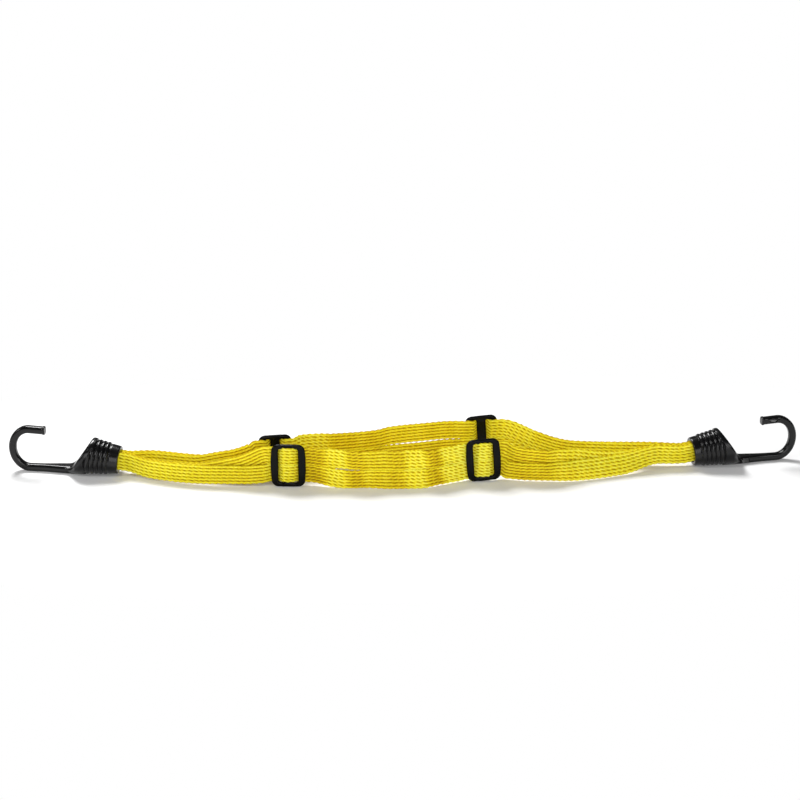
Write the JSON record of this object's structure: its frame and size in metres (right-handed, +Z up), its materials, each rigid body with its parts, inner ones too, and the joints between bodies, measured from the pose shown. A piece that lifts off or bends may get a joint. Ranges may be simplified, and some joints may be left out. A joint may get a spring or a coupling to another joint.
{
  "type": "flat bungee cord",
  "caption": "Flat bungee cord: paired yellow elastic straps run through black strap slides and are gathered into a ribbed plastic J-hook at each end.",
  "frame": {"origin": "middle of the cord's footprint, on the surface it stands on", "axes": "+X along the cord towards the right hook, +Y away from the front pair of straps, +Z up, the way the hooks curl"},
  "size_m": [0.5998, 0.0674, 0.0353],
  "materials": {
    "elastic": "braided elastic, matt with a soft sheen",
    "slide_plastic": "satin moulded",
    "hook_plastic": "satin moulded",
    "crimp_steel": "plated"
  },
  "bodies": {
    "straps": {"front_upper_strap": "elastic", "front_lower_strap": "elastic", "back_upper_strap": "elastic", "back_lower_strap": "elastic"},
    "left_end": {"left_hook": "hook_plastic", "left_crimp_ring": "crimp_steel"},
    "right_end": {"right_hook": "hook_plastic", "right_crimp_ring": "crimp_steel"},
    "front_left_slide_body": {"front_left_slide": "slide_plastic"},
    "front_right_slide_body": {"front_right_slide": "slide_plastic"},
    "back_left_slide_body": {"back_left_slide": "slide_plastic"},
    "back_right_slide_body": {"back_right_slide": "slide_plastic"}
  },
  "joints": [
    {"name": "left_stretch", "type": "slide", "parent": "straps", "child": "left_end", "axis": [-1, 0, 0], "range_m": [0, 0.12], "stiffness_N_per_m": 350, "deforming": ["front_upper_strap", "front_lower_strap", "back_upper_strap", "back_lower_strap"]},
    {"name": "right_stretch", "type": "slide", "parent": "straps", "child": "right_end", "axis": [1, 0, 0], "range_m": [0, 0.12], "stiffness_N_per_m": 350, "deforming": ["front_upper_strap", "front_lower_strap", "back_upper_strap", "back_lower_strap"]},
    {"name": "front_left_slide_travel", "type": "slide", "parent": "straps", "child": "front_left_slide_body", "axis": [1, 0, 0], "range_m": [-0.02, 0.02], "deforming": ["front_upper_strap", "front_lower_strap", "back_upper_strap", "back_lower_strap"]},
    {"name": "front_right_slide_travel", "type": "slide", "parent": "straps", "child": "front_right_slide_body", "axis": [1, 0, 0], "range_m": [-0.02, 0.02], "deforming": ["front_upper_strap", "front_lower_strap", "back_upper_strap", "back_lower_strap"]},
    {"name": "back_left_slide_travel", "type": "slide", "parent": "straps", "child": "back_left_slide_body", "axis": [1, 0, 0], "range_m": [-0.02, 0.02], "deforming": ["front_upper_strap", "front_lower_strap", "back_upper_strap", "back_lower_strap"]},
    {"name": "back_right_slide_travel", "type": "slide", "parent": "straps", "child": "back_right_slide_body", "axis": [1, 0, 0], "range_m": [-0.02, 0.02], "deforming": ["front_upper_strap", "front_lower_strap", "back_upper_strap", "back_lower_strap"]}
  ]
}
